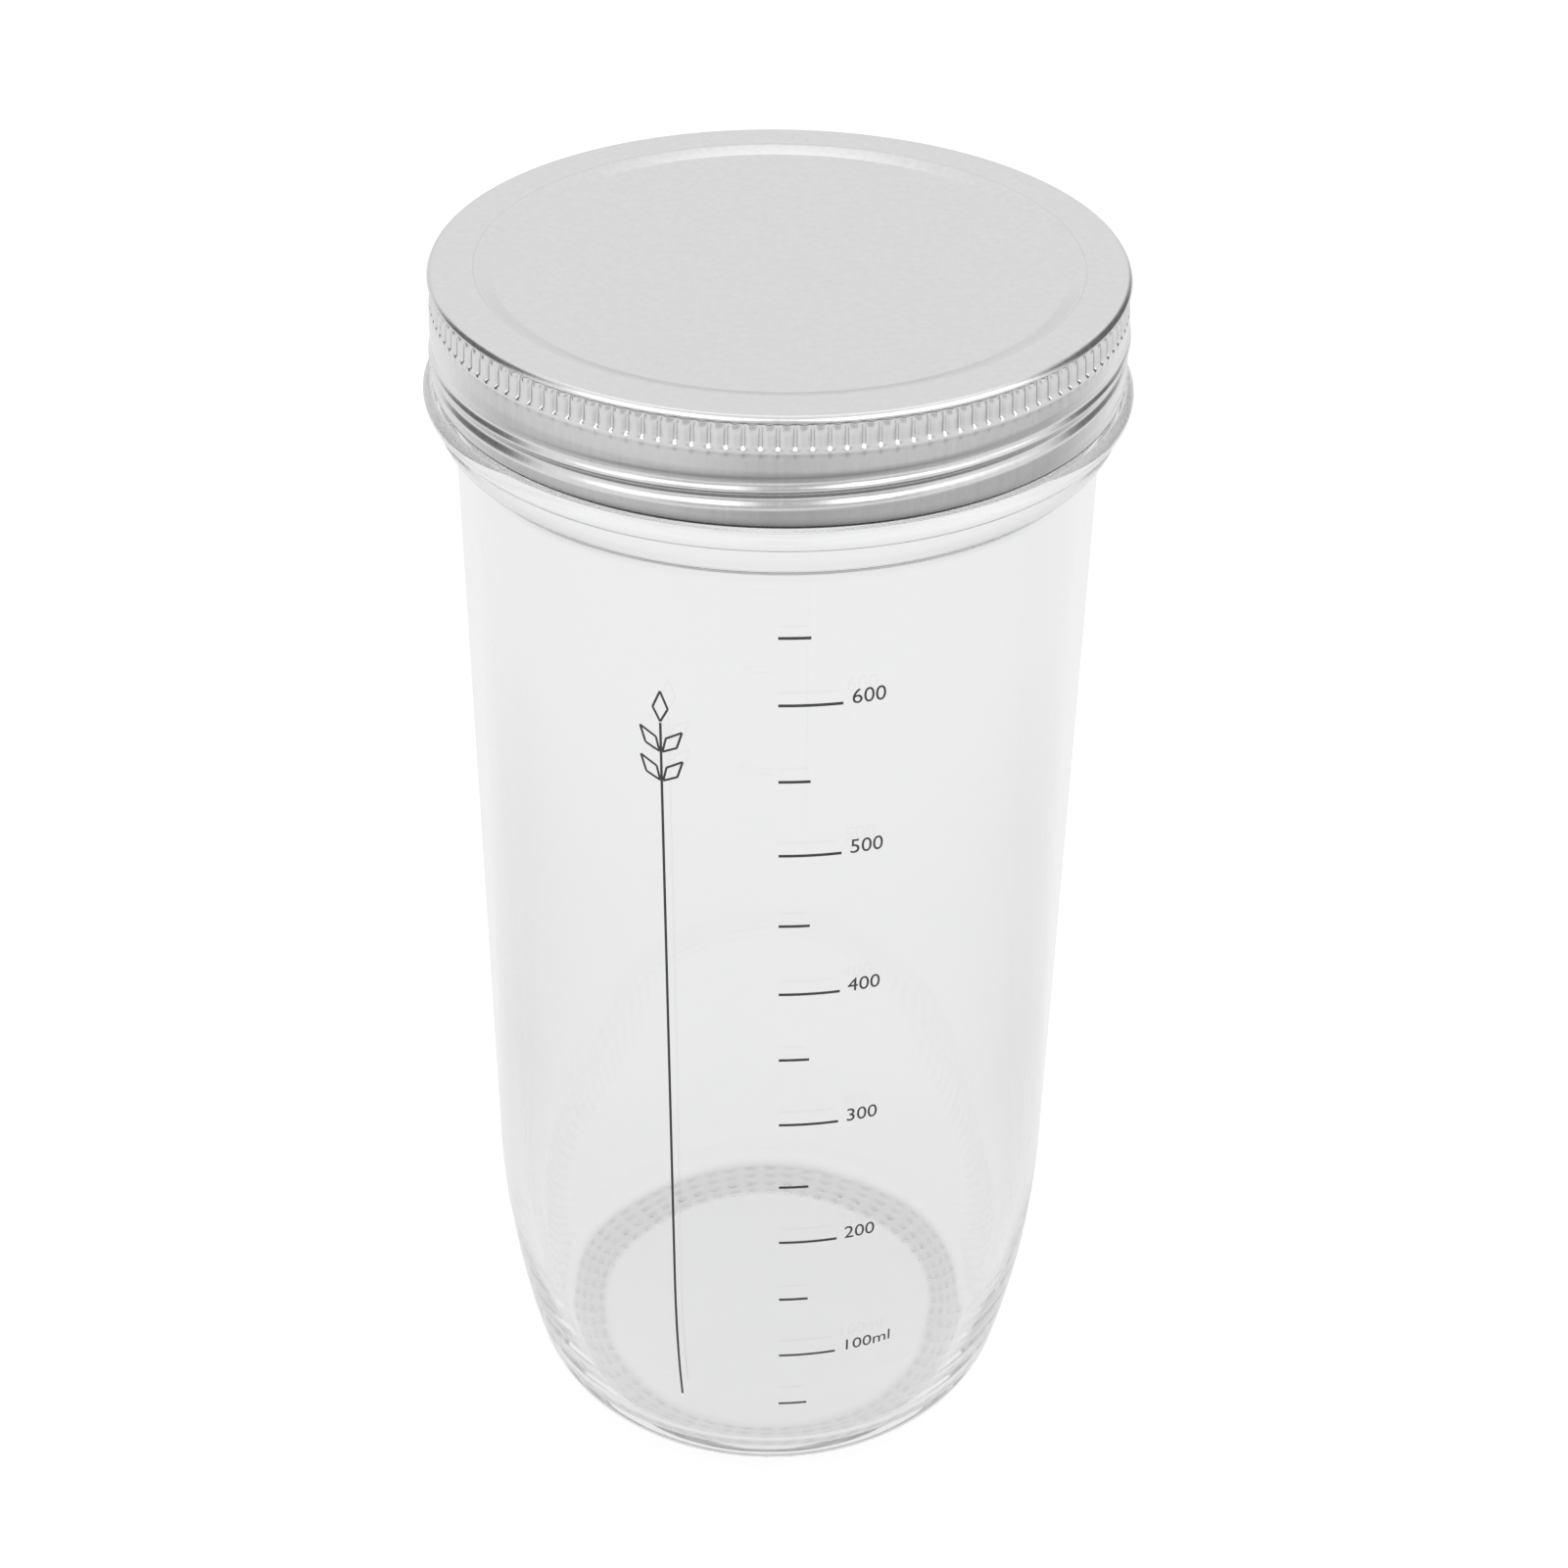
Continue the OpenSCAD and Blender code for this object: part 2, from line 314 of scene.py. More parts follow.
# %% Stippled ring
ROW_START, ROW_STEP = 27.1, 1.8
DOT_RADIUS, DOT_RISE = 1.2, 0.32
step = 360 / DOTS_AROUND
moves = {}
for vertex in jar_glass.data.vertices:
    x, y, z = (c / MM for c in vertex.co)
    r = math.hypot(x, y)
    if r > DOTS_OUT or z > FLOOR / 2:
        continue
    set_in = DOT_RISE * ease(r, DOTS_OUT, DOTS_OUT - 1.6)
    around = azimuth(x, y) % step
    around = math.radians(min(around, step - around)) * r
    out = sum(hump(math.hypot(around, r - ROW_START - ROW_STEP * row), DOT_RADIUS) for row in range(4))
    out *= 0.85 + 0.5 * noise.noise(Vector((x / 3, y / 3, 0)))
    moves[vertex.index] = Vector((0, 0, set_in * MM)) + vertex.normal * (DOT_RISE * min(1.0, out) * MM)
for index, move in moves.items():
    jar_glass.data.vertices[index].co += move
jar_glass.data.update()
smooth(jar_glass, 50)
print("stippled vertices", len(moves), "lowest", round(min(v.co.z for v in jar_glass.data.vertices) / MM, 3))

# %% [markdown]
# ## The lid
# The lid is drawn from one disc of thin steel: the panel is set down in the middle, the edge is turned
# over a small radius, a ring of flutes is pressed in for grip, the thread is rolled below it and the
# lower edge is curled into a hem. The section has many points where the flutes and the thread will go,
# so that vertices can be moved there, and few on the flat panel.

# %% Section of the lid
FLUTES = 138
SHEET = 0.35
EDGE_R = 0.85
PANEL, STEP_IN, STEP_OUT = LID_TOP - 0.75, 35.9, 38.4
FLUTE_TOP, FLUTE_FOOT = LID_TOP - 0.78, LID_TOP - 4.6
THREAD_TOP, THREAD_LOW = LID_TOP - 4.9, LID_LOW + 0.85
inner_r = LID_R - SHEET
flute_rows = [0.0, 0.16, 0.34, 0.56, 0.85, 1.3, 1.9, 2.4, 2.75, 3.0, 3.2, 3.38, 3.54, 3.68, 3.82]
lid_section = (
    [(0, PANEL), (20, PANEL)]
    + arc(STEP_IN, PANEL + 1.0, 1.0, -90, -66, 12)
    + arc(STEP_OUT, LID_TOP - 1.0, 1.0, 110, 90, 10)
    + straight(STEP_OUT, LID_TOP, LID_R - EDGE_R, LID_TOP, 2)
    + arc(LID_R - EDGE_R, LID_TOP - EDGE_R, EDGE_R, 90, 8, 10)
    + [(LID_R, FLUTE_TOP - row) for row in flute_rows]
    + straight(LID_R, THREAD_TOP + 0.3, LID_R, THREAD_LOW - 0.3, 30)
    + arc(LID_R - 0.4, LID_LOW + 0.4, 0.4, 0, -180, 36)
    + [(LID_R - 0.8, LID_LOW + 0.85)]
    + straight(inner_r, THREAD_LOW + 0.2, inner_r, THREAD_TOP, 10)
    + [(inner_r, THREAD_TOP), (LID_R - 0.85, FLUTE_FOOT), (LID_R - 0.85, LID_TOP - 0.9)]
    + [(LID_R - 1.25, LID_TOP - SHEET), (38.5, LID_TOP - SHEET), (36.2, PANEL - SHEET), (0, PANEL - SHEET)]
)
# A sector runs from the middle of one panel to the middle of the next, with fine columns in the groove.
GROOVE_COLUMNS = [0.347, 0.053, 0.05, 0.05, 0.05, 0.05, 0.053, 0.347]
lid_shell = turned("lid_shell", lid_section, GROOVE_COLUMNS, FLUTES)

# %% [markdown]
# The grip band leans in a little towards its top. Narrow grooves with round feet part it into panels
# that are slightly bellied and have arched tops, and below each groove the sheet bulges a little. The
# thread shows outside as two grooves with a sharp crest between them: the crest leaves room for the
# ridge on the neck. All of it is a push along the radius, worked out from a vertex's height and
# direction.

# %% Grip band and rolled thread
GRIP_PITCH = 2 * math.pi * LID_R / FLUTES
PANEL_HALF = GROOVE_COLUMNS[0] * GRIP_PITCH
GROOVE_DEPTH, GROOVE_END = 0.34, FLUTE_FOOT + 0.3
ARCH_DOWN = 0.25 + PANEL_HALF
LEAN_LOW = LID_TOP - 7.1


def lean(z):
    """The plain band below the grooves and the panels above it lean in towards the top."""
    low = -0.10 * min(1.0, max(0.0, (z - LEAN_LOW) / (FLUTE_FOOT - LEAN_LOW)))
    high = -0.27 * min(1.0, max(0.0, (z - FLUTE_FOOT) / (FLUTE_TOP - FLUTE_FOOT)))
    return (low + high) * ease(z, FLUTE_TOP, FLUTE_TOP - 0.34)


def grip_push(az, z):
    """How far a groove, the belly of a panel or the bulge under a groove moves the sheet."""
    down = FLUTE_TOP - z
    if down <= 0 or z < FLUTE_FOOT - 0.4:
        return 0.0
    across = abs((az / 360 * FLUTES) % 1.0 - 0.5) * GRIP_PITCH
    off_panel = math.hypot(across, max(0.0, ARCH_DOWN - down)) - PANEL_HALF
    deep = min(1.0, max(0.0, off_panel / (GRIP_PITCH / 2 - PANEL_HALF)))
    ends = ease(down, 0, 0.3) * ease(z, GROOVE_END, GROOVE_END + 0.4)
    groove = -GROOVE_DEPTH * math.sqrt(1 - (1 - deep) ** 2) * ends
    belly = -0.06 * min(1.0, across / PANEL_HALF) ** 2 * ease(z, FLUTE_FOOT, FLUTE_FOOT + 0.8)
    bulge = 0.06 * hump(math.hypot(GRIP_PITCH / 2 - across, z - FLUTE_FOOT), 0.45)
    return groove + belly + bulge


def thread_push(az, z):
    """The rolled thread, from above: a small step in, a crest, a deeper groove and the lower skirt."""
    push = -0.04 * ease(z, THREAD_TOP, THREAD_LOW)
    for turn in turns(az):
        up = z - CREST_Z - PITCH * turn / 360
        shape = -0.10 * ease(up, 2.0, 1.5) + 0.38 * ease(up, 0.85, 0.1)
        shape += -0.64 * ease(up, 0.0, -0.95) + 0.48 * ease(up, -1.0, -2.3)
        push += shape * fade(turn, -300, 125, 25)
    return push * fade(z, THREAD_LOW + 0.2, THREAD_TOP - 0.3, 0.4)


for vertex in lid_shell.data.vertices:
    x, y, z = (c / MM for c in vertex.co)
    r = math.hypot(x, y)
    if r < LID_R - 0.9 or not THREAD_LOW - 0.1 < z < LID_TOP - 0.3:
        continue
    az = azimuth(x, y)
    push = thread_push(az, z)
    if r > LID_R - 0.25:
        push += lean(z) + grip_push(az, z)
    push_out(vertex, az, push)
lid_shell.data.update()
smooth(lid_shell, 80)
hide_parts("screw_lid")
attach(lid_shell, "lid")

# %% [markdown]
# ## The sealing ring
# A flat ring of soft compound lies between the rim and the lid. Its edges are slightly rounded, as on
# a ring that is poured or punched and then pressed, and the glass rim leaves a shallow track in it.

# %% Sealing ring
RING_OUT, RING_IN, RING_EDGE = 43.3, 38.8, 0.2
ring_section = (
    arc(RING_OUT - RING_EDGE, RIM + RING_EDGE, RING_EDGE, -90, 0, 30)
    + arc(RING_OUT - RING_EDGE, RING_TOP - RING_EDGE, RING_EDGE, 0, 90, 30)
    + arc(RING_IN + RING_EDGE, RING_TOP - RING_EDGE, RING_EDGE, 90, 180, 30)
    + arc(RING_IN + RING_EDGE, RIM + RING_EDGE, RING_EDGE, 180, 270, 30)
    + [(39.7, RIM), (39.9, RIM + 0.06), (41.0, RIM + 0.06), (41.2, RIM), (RING_OUT - RING_EDGE, RIM)]
)
seal_ring = turned("seal_ring", ring_section, [1 / 4] * 4, 48)
smooth(seal_ring, 40)
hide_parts("sealing_ring")
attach(seal_ring, "seal")

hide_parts("glass_jar")
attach(jar_glass, "jar")

# %% [markdown]
# ## The printed scale
# Dark grey ink is screen printed on the glass: a short mark every 50 ml, a longer one with a number
# every 100 ml. Each mark is drawn flat, as the print on its screen, and then wrapped on the body: its
# width turns into an angle, and its depth into the body's radius at that height.

# %% Wrap flat print on the glass
INK_LIFT = 0.02
INK_THICK = 0.03


def body_radius(z):
    """Radius of the glass outside at a height, from the section above."""
    for (r0, z0), (r1, z1) in zip(outside, outside[1:]):
        if z0 <= z < z1:
            return r0 + (r1 - r0) * (z - z0) / (z1 - z0)
    return BODY_R


def wrap(piece):
    """Takes x as millimetres round the body from the front and z as height."""
    pick(piece)
    bpy.ops.object.mode_set(mode="EDIT")
    bpy.ops.mesh.select_all(action="SELECT")
    bpy.ops.mesh.remove_doubles(threshold=0.0005 * MM)
    bpy.ops.object.mode_set(mode="OBJECT")
    for vertex in piece.data.vertices:
        across, z = vertex.co.x / MM, vertex.co.z / MM
        r = body_radius(z)
        angle = across / r
        vertex.co.x = (r + INK_LIFT) * math.sin(angle) * MM
        vertex.co.y = -(r + INK_LIFT) * math.cos(angle) * MM
    film = piece.modifiers.new("film", "SOLIDIFY")
    film.thickness = INK_THICK * MM
    film.offset = 1
    bpy.ops.object.modifier_apply(modifier="film")
    bpy.ops.object.mode_set(mode="EDIT")
    bpy.ops.mesh.select_all(action="SELECT")
    bpy.ops.mesh.normals_make_consistent(inside=False)
    bpy.ops.object.mode_set(mode="OBJECT")


def bar(name, x0, x1, z0, z1, columns=1, rows=1):
    """A flat rectangle of ink between two corners, divided so that it can be wrapped."""
    clear_selection()
    bpy.ops.mesh.primitive_grid_add(
        x_subdivisions=columns, y_subdivisions=rows, size=1,
        location=((x0 + x1) / 2 * MM, 0, (z0 + z1) / 2 * MM), rotation=(math.pi / 2, 0, 0))
    piece = bpy.context.object
    piece.name = piece.data.name = name
    piece.scale = ((x1 - x0) * MM, (z1 - z0) * MM, 1)
    settle(piece)
    return piece


def joined(name, pieces):
    """Several flat pieces as one mesh."""
    clear_selection()
    for piece in pieces:
        piece.select_set(True)
    bpy.context.view_layer.objects.active = pieces[0]
    bpy.ops.object.join()
    piece = bpy.context.object
    piece.name = piece.data.name = name
    return piece


# %% Marks and numbers
marks = {650: 146.8, 600: 137.2, 550: 126.0, 500: 114.8, 450: 103.8, 400: 92.8, 350: 81.9,
         300: 70.8, 250: 59.8, 200: 49.8, 150: 39.2, 100: 28.0, 50: 17.3}
LONG_MARK, SHORT_MARK, MARK_THICK = 8.0, 4.0, 0.4
NUMBER_GAP, NUMBER_HEIGHT = 1.0, 2.1


def mark_start(z):
    """Left end of a mark, in degrees from the front: the print leans a little."""
    return 0.4 + (marks[650] - z) * 0.0162


flat_marks = []
for volume, z in marks.items():
    start = math.radians(mark_start(z)) * body_radius(z)
    width = SHORT_MARK if volume % 100 else LONG_MARK
    low, high = z - MARK_THICK / 2, z + MARK_THICK / 2
    flat_marks.append(bar(f"mark_{volume}", start, start + width, low, high, round(width * 1.75)))
scale_marks = joined("scale_marks", flat_marks)
wrap(scale_marks)


def flat_word(word, x, z, height):
    """A number as a flat mesh that stands upright, its lower left corner at x and z."""
    clear_selection()
    bpy.ops.object.text_add(location=(x * MM, 0, z * MM), rotation=(math.pi / 2, 0, 0))
    piece = bpy.context.object
    piece.data.body = word
    piece.data.size = height / 0.70 * MM
    piece.data.resolution_u = 6
    pick(piece)
    bpy.ops.object.convert(target="MESH")
    piece = bpy.context.object
    settle(piece)
    return piece


words = []
for volume, z in marks.items():
    if volume % 100:
        continue
    start = math.radians(mark_start(z)) * body_radius(z) + LONG_MARK + NUMBER_GAP
    words.append(flat_word("100ml" if volume == 100 else str(volume), start, z - 0.2, NUMBER_HEIGHT))
scale_numbers = joined("scale_numbers", words)
wrap(scale_numbers)
print("print pieces", len(flat_marks), "marks", len(words), "numbers")

# %% [markdown]
# To the left of the scale stands a long thin line, a plain guide for a date or a level. It ends in a
# small ear of grain, drawn as a few open lozenges. It is a simple ornament of this model's own.

# %% Guide line and ear of grain
def line_place(z):
    """Millimetres from the front to the guide line at a height: it leans like the scale."""
    return math.radians(-19.95 + (137.4 - z) * 0.0108) * body_radius(z)


def stroke(name, x0, z0, x1, z1, width, parts=2):
    """A straight stroke of ink between two points of the flat print."""
    length = math.hypot(x1 - x0, z1 - z0)
    piece = bar(name, 0, length, -width / 2, width / 2, parts)
    turn = math.atan2(z1 - z0, x1 - x0)
    for vertex in piece.data.vertices:
        a, b = vertex.co.x / MM, vertex.co.z / MM
        vertex.co.x = (x0 + a * math.cos(turn) - b * math.sin(turn)) * MM
        vertex.co.z = (z0 + a * math.sin(turn) + b * math.cos(turn)) * MM
    return piece


strokes = []
LINE_LOW, LINE_HIGH, STRETCHES = 17.2, 133.0, 24
heights = [LINE_LOW + (LINE_HIGH - LINE_LOW) * i / STRETCHES for i in range(STRETCHES + 1)]
for low, high in zip(heights, heights[1:]):
    strokes.append(stroke("guide", line_place(low), low, line_place(high), high, 0.34))


def lozenge(x, z, tilt, long, wide):
    """An open lozenge of four strokes, its foot at x and z, leaning by tilt degrees."""
    lean = math.radians(tilt)
    along = Vector((math.sin(lean), math.cos(lean)))
    side = Vector((math.cos(lean), -math.sin(lean)))
    foot = Vector((x, z))
    corners = [foot, foot + along * long * 0.45 + side * wide / 2, foot + along * long,
               foot + along * long * 0.45 - side * wide / 2]
    for a, b in zip(corners, corners[1:] + corners[:1]):
        strokes.append(stroke("grain", a.x, a.y, b.x, b.y, 0.3))


lozenge(line_place(LINE_HIGH), LINE_HIGH + 0.2, 0, 4.4, 2.0)
for level in (124.5, 128.8):
    foot = line_place(level)
    lozenge(foot + 0.2, level, 38, 4.2, 1.8)
    lozenge(foot - 0.2, level, -38, 4.2, 1.8)
guide_line = joined("guide_line", strokes)
wrap(guide_line)

for piece in (scale_marks, scale_numbers, guide_line):
    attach(piece, "jar")

# %% [markdown]
# ## Writing materials as sums
# A material is a net of small nodes. Wrapping a socket in a class lets Python's own signs add the Math
# nodes, so a pattern reads as a formula. Other nodes come from one method.

# %% A socket that can be calculated with
class Wire:
    """One socket of a material, with the signs of arithmetic."""

    def __init__(self, tree, socket=None):
        self.tree, self.socket = tree, socket

    def node(self, kind, settings=None, out=0, **sockets):
        """Adds a node. Its settings come first, then the values or wires of its sockets."""
        made = self.tree.nodes.new("ShaderNode" + kind)
        settings = dict(settings or {})
        stops = settings.pop("stops", None)
        for key, value in settings.items():
            setattr(made, key, value)
        if stops:
            ramp = made.color_ramp.elements
            while len(ramp) < len(stops):
                ramp.new(0.5)
            for element, (place, shade) in zip(ramp, stops):
                element.position = place
                element.color = (shade, shade, shade, 1)
        for key, value in sockets.items():
            name = key.replace("_", " ")
            target = made.inputs[int(name[3:])] if name.startswith("in ") else made.inputs[name]
            if isinstance(value, Wire):
                self.tree.links.new(value.socket, target)
            else:
                target.default_value = value
        return Wire(self.tree, made.outputs[out])

    def maths(self, operation, *values):
        made = self.tree.nodes.new("ShaderNodeMath")
        made.operation = operation
        for target, value in zip(made.inputs, values):
            if isinstance(value, Wire):
                self.tree.links.new(value.socket, target)
            else:
                target.default_value = value
        return Wire(self.tree, made.outputs[0])

    def __add__(self, other):
        return self.maths("ADD", self, other)

    def __radd__(self, other):
        return self.maths("ADD", other, self)

    def __sub__(self, other):
        return self.maths("SUBTRACT", self, other)

    def __rsub__(self, other):
        return self.maths("SUBTRACT", other, self)

    def __mul__(self, other):
        return self.maths("MULTIPLY", self, other)

    def __rmul__(self, other):
        return self.maths("MULTIPLY", other, self)

    def __truediv__(self, other):
        return self.maths("DIVIDE", self, other)


def material(name):
    """A new material, its Principled shader and a Wire to start from."""
    made = bpy.data.materials.new(name)
    made.use_nodes = True
    tree = made.node_tree
    shader = tree.nodes["Principled BSDF"]
    return made, tree, shader, Wire(tree)


def feed(tree, shader, socket, wire):
    tree.links.new(wire.socket, shader.inputs[socket])


# %% [markdown]
# ## Clear glass
# Flint glass has an index of refraction of about 1.5 and hardly any colour: what one sees is a faint
# grey, deeper where more glass lies in the way, as in the thick base. A lamp's light comes through a
# jar nearly whole, so for shadow rays the glass is simply transparent. The faint ripple of a blown wall
# shows only because it bends light, so it is a bump and not a colour.

# %% Glass
glass, tree, shader, start = material("clear_glass")
place = start.node("TexCoord", out=3)
x, y, height = (start.node("SeparateXYZ", out=i, Vector=place) for i in range(3))
radius = start.maths("SQRT", x * x + y * y)
WALL_TINT, HEEL_TINT, UNDER_TINT, BAND_TINT = 0.99, 0.97, 0.93, 0.71
heel = start.node("MapRange", Value=height, From_Min=0.010, From_Max=0.024, To_Min=1.0, To_Max=0.0)
under = start.node("MapRange", Value=height, From_Min=0.002, From_Max=0.003, To_Min=1.0, To_Max=0.0)
band = start.node("MapRange", Value=radius, From_Min=0.0256, From_Max=0.0270, To_Min=0.0, To_Max=1.0)
band = under * band * start.node("MapRange", Value=radius, From_Min=0.0328, From_Max=0.0338, To_Min=1.0, To_Max=0.0)
angle = start.maths("ARCTAN2", y, x)
across_rows = (radius - ROW_START * MM) * (2 * math.pi / (ROW_STEP * MM))
spots = (start.maths("COSINE", angle * DOTS_AROUND) + 1) * (start.maths("COSINE", across_rows) + 1)
spots = band * spots * start.node("TexNoise", Vector=place, Scale=300.0, Detail=1.0) * 0.5
inner_floor = start.node("MapRange", Value=radius, From_Min=0.0282, From_Max=0.0302, To_Min=1.0, To_Max=0.0)
tint = WALL_TINT - heel * (1 - inner_floor * (1 - under)) * (WALL_TINT - HEEL_TINT)
tint = tint - under * (HEEL_TINT - UNDER_TINT) - band * (UNDER_TINT - BAND_TINT) - spots * 0.16
colour = start.node("CombineColor", Red=tint * 0.998, Green=tint, Blue=tint)
feed(tree, shader, "Base Color", colour)
shader.inputs["Transmission Weight"].default_value = 1.0
shader.inputs["IOR"].default_value = 1.5
feed(tree, shader, "Roughness", under * 0.02 + band * 0.21)
ripple = start.node("TexNoise", Vector=place, Scale=38.0, Detail=1.0, Roughness=0.4)
bump = start.node("Bump", Height=ripple, Strength=1.0, Distance=0.00004)
feed(tree, shader, "Normal", bump)
shadow_ray = start.node("LightPath", out=1)
clear = start.node("BsdfTransparent", Color=(0.9, 0.9, 0.9, 1))
lets_lamps_through = tree.nodes.new("ShaderNodeMixShader")
tree.links.new(shadow_ray.socket, lets_lamps_through.inputs[0])
tree.links.new(shader.outputs[0], lets_lamps_through.inputs[1])
tree.links.new(clear.socket, lets_lamps_through.inputs[2])
tree.links.new(lets_lamps_through.outputs[0], tree.nodes["Material Output"].inputs["Surface"])
jar_glass.data.materials.clear()
jar_glass.data.materials.append(glass)

# %% [markdown]
# ## Satin steel
# The lid is rolled tinplate under a thin varnish. From above it shows only a very fine, even mottle. On
# the skirt the drawing of the sheet leaves fine upright lines. One noise gives both: it is fine across
# and long upright, so the flat top cuts through it and the skirt shows its length.

# %% Lid metal
steel, tree, shader, start = material("satin_steel")
place = start.node("TexCoord", out=3)
drawn = start.node("Mapping", Vector=place, Scale=(1300.0, 1300.0, 110.0))
grain = start.node("TexNoise", Vector=drawn, Scale=1.0, Detail=3.0, Roughness=0.65)
mottle = start.node("TexNoise", Vector=place, Scale=1100.0, Detail=2.0, Roughness=0.6)
shade = start.node("MapRange", Value=grain * 0.6 + mottle * 0.4, From_Min=0.3, From_Max=0.7, To_Min=0.75, To_Max=0.81)
x, y, height = (start.node("SeparateXYZ", out=i, Vector=place) for i in range(3))
# Painted shadow: the foot of the hem is darkened nearly to black, standing in for the shade in the gap between the
# hem and the glass bead.
hem_low, hem_high = (LID_LOW + 0.38) * MM, (LID_LOW + 0.5) * MM
hem_gap_shadow = start.node("MapRange", Value=height, From_Min=hem_low, From_Max=hem_high, To_Min=0.08, To_Max=1.0)
# Painted shade: a thin darker line is painted all round the outer edge of the stamped step, where the step's slope
# turns into the flat rim.
off_line = start.maths("ABSOLUTE", start.maths("SQRT", x * x + y * y) - (STEP_OUT + 0.05) * MM)
step_shade_line = start.node("MapRange", Value=off_line, From_Min=0.0, From_Max=0.16 * MM, To_Min=0.91, To_Max=1.0)
shade = shade * hem_gap_shadow * step_shade_line
colour = start.node("CombineColor", Red=shade, Green=shade, Blue=shade)
feed(tree, shader, "Base Color", colour)
rough = start.node("MapRange", Value=grain, From_Min=0.3, From_Max=0.7, To_Min=0.17, To_Max=0.24)
feed(tree, shader, "Roughness", rough)
shader.inputs["Metallic"].default_value = 1.0
bump = start.node("Bump", Height=grain, Strength=0.2, Distance=0.00004)
feed(tree, shader, "Normal", bump)
lid_shell.data.materials.clear()
lid_shell.data.materials.append(steel)

# %% [markdown]
# The inside of such a lid is coated white, because bare tinplate would rust over food. The faces that
# look inward or down inside the lid get a second material.

# %% Lacquer inside the lid
lacquer, tree, shader, start = material("white_lacquer")
place = start.node("TexCoord", out=3)
peel = start.node("TexNoise", Vector=place, Scale=700.0, Detail=2.0)
shade = start.node("MapRange", Value=peel, From_Min=0.3, From_Max=0.7, To_Min=0.78, To_Max=0.82)
colour = start.node("CombineColor", Red=shade, Green=shade, Blue=shade * 0.98)
feed(tree, shader, "Base Color", colour)
shader.inputs["Roughness"].default_value = 0.3
bump = start.node("Bump", Height=peel, Strength=0.3, Distance=0.00003)
feed(tree, shader, "Normal", bump)
lid_shell.data.materials.append(lacquer)
coated = 0
for face in lid_shell.data.polygons:
    r, z = math.hypot(face.center.x, face.center.y) / MM, face.center.z / MM
    inward = face.normal.x * face.center.x + face.normal.y * face.center.y < 0
    wall_inside = r < LID_R - 0.25 and inward and z < LID_TOP - 1
    under_panel = face.normal.z < -0.5 and z > FLUTE_FOOT
    if (wall_inside or under_panel) and z > LID_LOW + 0.8:
        face.material_index = 1
        coated += 1
print("coated faces", coated)

# %% [markdown]
# ## Sealing compound and ink
# The compound is an off-white, slightly cloudy plastic. The ink is dark grey with a little variation,
# where the screen left more or less of it.

# %% Soft ring and ink
compound, tree, shader, start = material("sealing_compound")
place = start.node("TexCoord", out=3)
cloud = start.node("TexNoise", Vector=place, Scale=160.0, Detail=3.0)
shade = start.node("MapRange", Value=cloud, From_Min=0.3, From_Max=0.7, To_Min=0.74, To_Max=0.80)
colour = start.node("CombineColor", Red=shade, Green=shade * 0.985, Blue=shade * 0.95)
feed(tree, shader, "Base Color", colour)
shader.inputs["Roughness"].default_value = 0.5
bump = start.node("Bump", Height=cloud, Strength=0.2, Distance=0.0001)
feed(tree, shader, "Normal", bump)
seal_ring.data.materials.clear()
seal_ring.data.materials.append(compound)

ink, tree, shader, start = material("dark_ink")
place = start.node("TexCoord", out=3)
film = start.node("TexNoise", Vector=place, Scale=1500.0, Detail=2.0)
shade = start.node("MapRange", Value=film, From_Min=0.3, From_Max=0.7, To_Min=0.045, To_Max=0.075)
colour = start.node("CombineColor", Red=shade, Green=shade, Blue=shade)
feed(tree, shader, "Base Color", colour)
shader.inputs["Roughness"].default_value = 0.45
for piece in (scale_marks, scale_numbers, guide_line):
    piece.data.materials.clear()
    piece.data.materials.append(ink)

# %% [markdown]
# ## Floor, light and camera
# The jar stands on a plain white sweep in soft light. Part of the floor's white comes from a weak glow
# that only the camera, mirrors and glass see, so the background stays white while the floor keeps the
# jar's soft shadow. Light turns round many times inside thick glass before it leaves, so the paths are
# allowed to be long: cut short, they would show as black rings in the heel and in the bead.

# %% Floor and world
clear_selection()
bpy.ops.mesh.primitive_plane_add(size=12, location=(0, 0, 0))
floor = bpy.context.object
floor.name = "floor"
paper, tree, shader, start = material("white_sweep")
shader.inputs["Base Color"].default_value = (0.95, 0.95, 0.95, 1)
shader.inputs["Roughness"].default_value = 0.9
shader.inputs["Specular IOR Level"].default_value = 0.1
camera_ray = start.node("LightPath", out=0)
mirror_ray = start.node("LightPath", out=3)
glass_ray = start.node("LightPath", out=6)
seen = start.maths("MINIMUM", 1.0, camera_ray + mirror_ray + glass_ray)
level = 1 - start.maths("MAXIMUM", mirror_ray, glass_ray) * 0.21
grey = start.node("CombineColor", Red=level, Green=level, Blue=level)
glow = start.node("Emission", Color=grey, Strength=1.125)
both = tree.nodes.new("ShaderNodeMixShader")
tree.links.new((seen * 0.77).socket, both.inputs[0])
tree.links.new(shader.outputs[0], both.inputs[1])
tree.links.new(glow.socket, both.inputs[2])
tree.links.new(both.outputs[0], tree.nodes["Material Output"].inputs["Surface"])
floor.data.materials.append(paper)

world = bpy.context.scene.world or bpy.data.worlds.new("studio")
bpy.context.scene.world = world
world.use_nodes = True
tree = world.node_tree
start = Wire(tree)
camera_ray = start.node("LightPath", out=0)
mirror_ray = start.node("LightPath", out=3)
glass_ray = start.node("LightPath", out=6)
seen = start.maths("MINIMUM", 1.0, camera_ray + mirror_ray + glass_ray)
SKY = 0.62
strength = SKY + seen * (1 - SKY) - start.maths("MAXIMUM", mirror_ray, glass_ray) * 0.13
background = tree.nodes["Background"]
background.inputs["Color"].default_value = (1, 1, 1, 1)
tree.links.new(strength.socket, background.inputs["Strength"])

paths = bpy.context.scene.cycles
paths.max_bounces = 200
paths.glossy_bounces = 200
paths.transmission_bounces = 200
paths.transparent_max_bounces = 32


